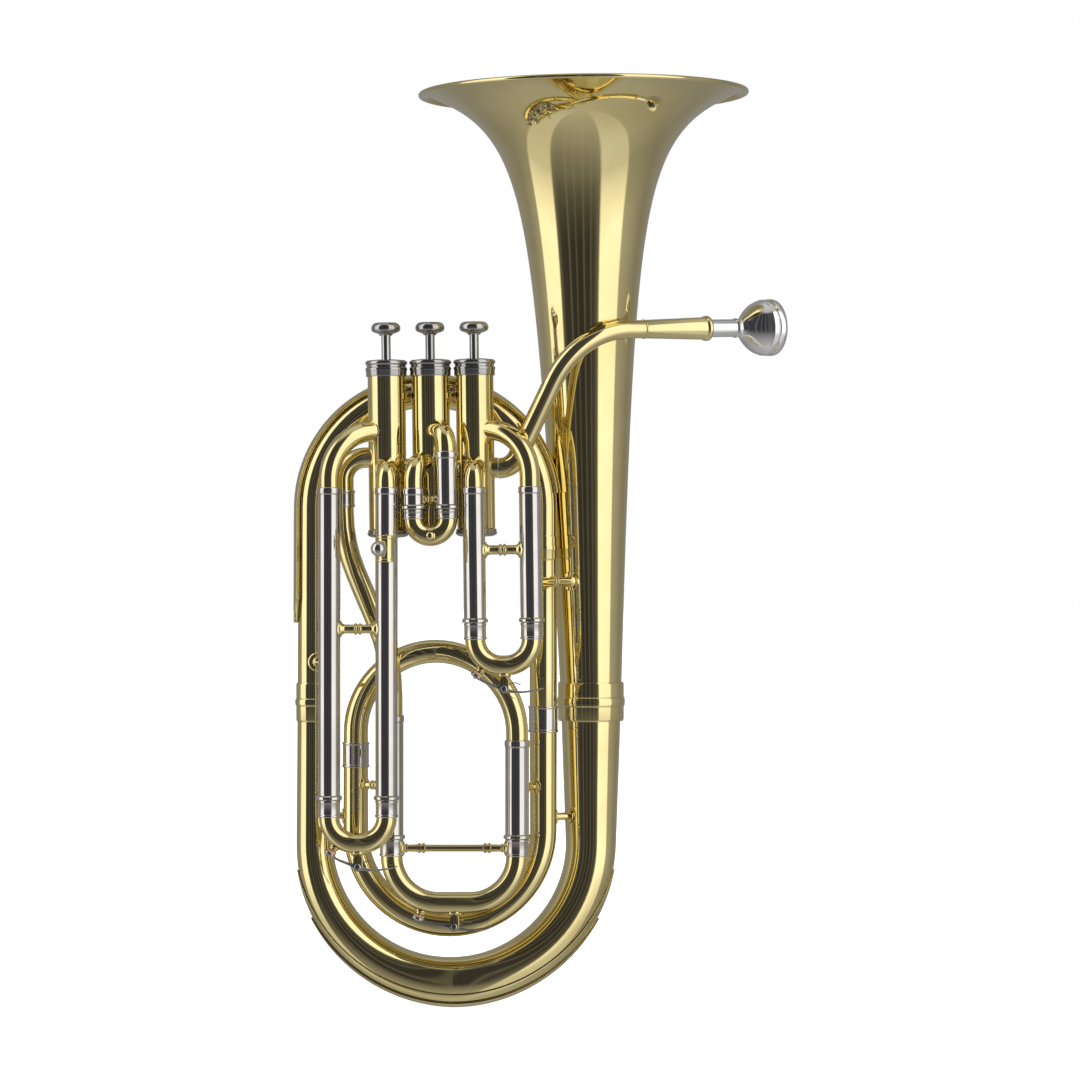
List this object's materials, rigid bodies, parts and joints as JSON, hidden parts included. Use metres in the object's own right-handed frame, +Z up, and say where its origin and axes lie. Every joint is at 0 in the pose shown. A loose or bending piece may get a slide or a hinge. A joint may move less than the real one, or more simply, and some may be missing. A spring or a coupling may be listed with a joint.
{
  "type": "baritone horn",
  "caption": "Upright three-valve brass horn with a narrow bell, pull-out tuning slides, sprung water keys and a pull-out mouthpiece.",
  "frame": {"origin": "lowest point of the bottom bow's guard, midway between the bow's two legs, in the bell's plane", "axes": "+Z up along the bell, +X from the valves towards the bell and mouthpiece, +Y away from the valve side"},
  "size_m": [0.3184, 0.213, 0.5903],
  "materials": {
    "lacquered_brass": "polished, clear lacquer",
    "nickel_silver": "polished nickel silver, a white copper alloy",
    "nickel_plate": "nickel plated, worn satin",
    "silver_plate": "bright silver plate",
    "spring_steel": "bright wire",
    "cork": "natural cork"
  },
  "bodies": {
    "horn": {"bell": "lacquered_brass", "bell_collar": "lacquered_brass", "bottom_bow": "lacquered_brass", "bow_guard": "lacquered_brass", "branch_collar": "lacquered_brass", "top_bow": "lacquered_brass", "hand_guard": "lacquered_brass", "branch_ferrule": "lacquered_brass", "right_branch": "lacquered_brass", "bow_ferrules": "nickel_silver", "second_bow": "lacquered_brass", "arch_tube": "lacquered_brass", "s_bend_tube": "lacquered_brass", "main_outer_legs": "nickel_silver", "first_outer_legs": "nickel_silver", "second_outer_legs": "nickel_silver", "third_outer_legs": "nickel_silver", "casing_1": "lacquered_brass", "casing_2": "lacquered_brass", "casing_3": "lacquered_brass", "valve_tubing": "lacquered_brass", "top_caps": "nickel_silver", "bottom_caps": "nickel_silver", "leadpipe": "lacquered_brass", "receiver": "lacquered_brass", "leg_braces": "lacquered_brass", "tube_braces": "lacquered_brass", "lyre_socket": "lacquered_brass", "piston_spring_1": "spring_steel", "piston_spring_2": "spring_steel", "piston_spring_3": "spring_steel"},
    "valve_1": {"piston_1": "nickel_plate", "stem_1": "nickel_plate", "button_1": "nickel_plate"},
    "valve_2": {"piston_2": "nickel_plate", "stem_2": "nickel_plate", "button_2": "nickel_plate"},
    "valve_3": {"piston_3": "nickel_plate", "stem_3": "nickel_plate", "button_3": "nickel_plate"},
    "main_slide": {"main_inner_legs": "nickel_silver", "main_bow": "lacquered_brass", "main_brace": "lacquered_brass", "main_key_saddle": "lacquered_brass"},
    "main_key": {"main_water_key": "nickel_silver", "main_key_cork": "cork"},
    "first_slide": {"first_inner_legs": "nickel_silver", "first_bow": "lacquered_brass", "first_key_saddle": "lacquered_brass"},
    "first_key": {"first_water_key": "nickel_silver", "first_key_cork": "cork"},
    "second_slide": {"second_inner_legs": "nickel_silver", "second_slide_bow": "lacquered_brass"},
    "third_slide": {"third_inner_legs": "nickel_silver", "third_bow": "lacquered_brass", "third_key_saddle": "lacquered_brass"},
    "third_key": {"third_water_key": "nickel_silver", "third_key_cork": "cork"},
    "mouthpiece": {"mouthpiece": "silver_plate"},
    "lyre_screw": {"lyre_thumbscrew": "nickel_silver"}
  },
  "joints": [
    {"name": "valve_1_press", "type": "slide", "parent": "horn", "child": "valve_1", "axis": [0.0122, 0, -0.9999], "range_m": [0, 0.0145], "stiffness_N_per_m": 160, "springref_m": -0.02, "deforming": ["piston_spring_1"]},
    {"name": "valve_2_press", "type": "slide", "parent": "horn", "child": "valve_2", "axis": [0.0122, 0, -0.9999], "range_m": [0, 0.0145], "stiffness_N_per_m": 160, "springref_m": -0.02, "deforming": ["piston_spring_2"]},
    {"name": "valve_3_press", "type": "slide", "parent": "horn", "child": "valve_3", "axis": [0.0122, 0, -0.9999], "range_m": [0, 0.0145], "stiffness_N_per_m": 160, "springref_m": -0.02, "deforming": ["piston_spring_3"]},
    {"name": "main_slide_pull", "type": "slide", "parent": "horn", "child": "main_slide", "axis": [0, 0, -1], "range_m": [0, 0.045]},
    {"name": "first_slide_pull", "type": "slide", "parent": "horn", "child": "first_slide", "axis": [0.0122, 0, -0.9999], "range_m": [0, 0.05]},
    {"name": "second_slide_pull", "type": "slide", "parent": "horn", "child": "second_slide", "axis": [0.0122, 0, -0.9999], "range_m": [0, 0.008]},
    {"name": "third_slide_pull", "type": "slide", "parent": "horn", "child": "third_slide", "axis": [0, 0, -1], "range_m": [0, 0.09]},
    {"name": "main_key_lift", "type": "hinge", "parent": "main_slide", "child": "main_key", "pos_m": [0.0014, -0.024, 0.054], "axis": [0, -1, 0], "range_deg": [0, 18], "stiffness_Nm_per_rad": 0.02, "springref_deg": -28.65},
    {"name": "first_key_lift", "type": "hinge", "parent": "first_slide", "child": "first_key", "pos_m": [0.03333, -0.047, 0.20611], "axis": [0, -1, 0], "range_deg": [0, 18], "stiffness_Nm_per_rad": 0.02, "springref_deg": -28.65},
    {"name": "third_key_lift", "type": "hinge", "parent": "third_slide", "child": "third_key", "pos_m": [-0.05895, -0.047, 0.0939], "axis": [0, -1, 0], "range_deg": [0, 18], "stiffness_Nm_per_rad": 0.02, "springref_deg": -28.65},
    {"name": "mouthpiece_pull", "type": "slide", "parent": "horn", "child": "mouthpiece", "axis": [0.8824, 0.4692, 0.0349], "range_m": [0, 0.03]},
    {"name": "lyre_screw_turn", "type": "hinge", "parent": "horn", "child": "lyre_screw", "pos_m": [-0.0409, -0.06044, 0.2945], "axis": [-0.309, -0.9511, 0], "continuous": true}
  ]
}
